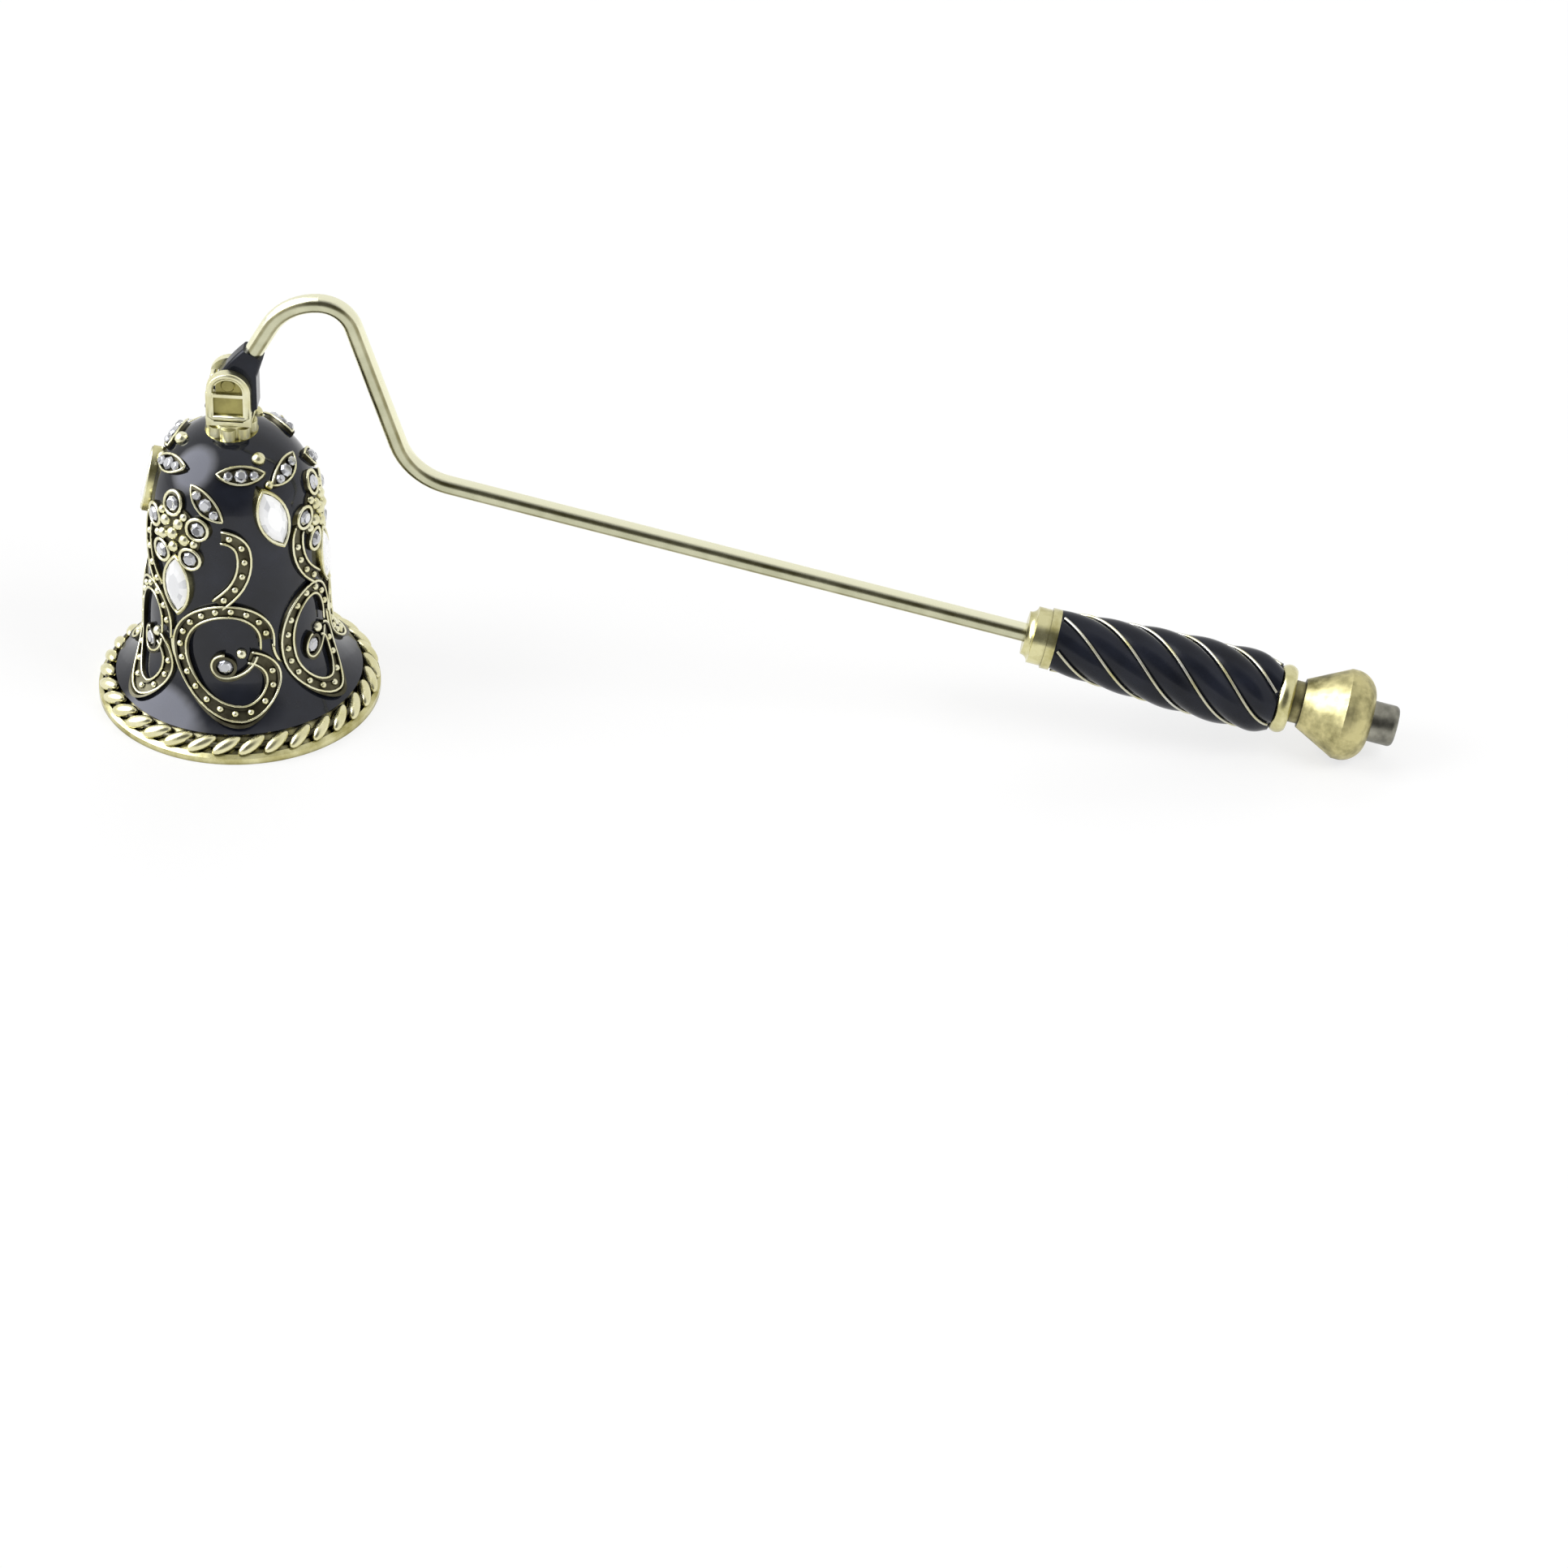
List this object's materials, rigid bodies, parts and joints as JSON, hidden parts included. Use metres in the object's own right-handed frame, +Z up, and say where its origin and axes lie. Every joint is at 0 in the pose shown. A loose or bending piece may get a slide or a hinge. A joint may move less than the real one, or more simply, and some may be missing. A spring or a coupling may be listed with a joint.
{
  "type": "candle snuffer",
  "caption": "Ornate candle snuffer with a jewelled, enamelled bell hinged on a hooked rod and a twisted handle.",
  "frame": {"origin": "centre of the bell's mouth, on the surface that the bell's lip and the pommel rest on", "axes": "+Z up along the bell's axis, +X along the handle away from the bell, +Y to the left when looking along the handle from the bell"},
  "size_m": [0.2216, 0.048, 0.0793],
  "materials": {
    "antique_brass": "polished antique brass, dark in its recesses",
    "black_enamel": "glossy black enamel",
    "clear_crystal": "clear faceted crystal with a foil back",
    "dark_steel": "darkened steel"
  },
  "bodies": {
    "bell": {"bell_shell": "antique_brass", "bell_enamel": "black_enamel", "rope_border": "antique_brass", "scroll_medallions": "antique_brass", "medallion_beads": "antique_brass", "medallion_crystals": "clear_crystal", "scroll_stems": "antique_brass", "stem_beads": "antique_brass", "flower_rosettes": "antique_brass", "flower_beads": "antique_brass", "flower_crystals": "clear_crystal", "leaf_sprigs": "antique_brass", "leaf_crystals": "clear_crystal", "navette_settings": "antique_brass", "navette_crystals": "clear_crystal", "crown_yoke": "antique_brass", "crown_washer": "dark_steel", "crown_nut": "dark_steel", "hinge_pin": "antique_brass", "pin_cap": "antique_brass"},
    "arm": {"arm_tongue": "black_enamel", "neck_rod": "antique_brass", "ferrule": "antique_brass", "grip_core": "antique_brass", "grip_enamel": "black_enamel", "grip_spiral_wires": "antique_brass", "rear_ring": "antique_brass", "pommel": "antique_brass", "end_nut": "dark_steel"}
  },
  "joints": [
    {"name": "bell_hinge", "type": "hinge", "parent": "bell", "child": "arm", "pos_m": [0, 0, 0.0622], "axis": [0, 1, 0], "range_deg": [-90, 30]}
  ]
}
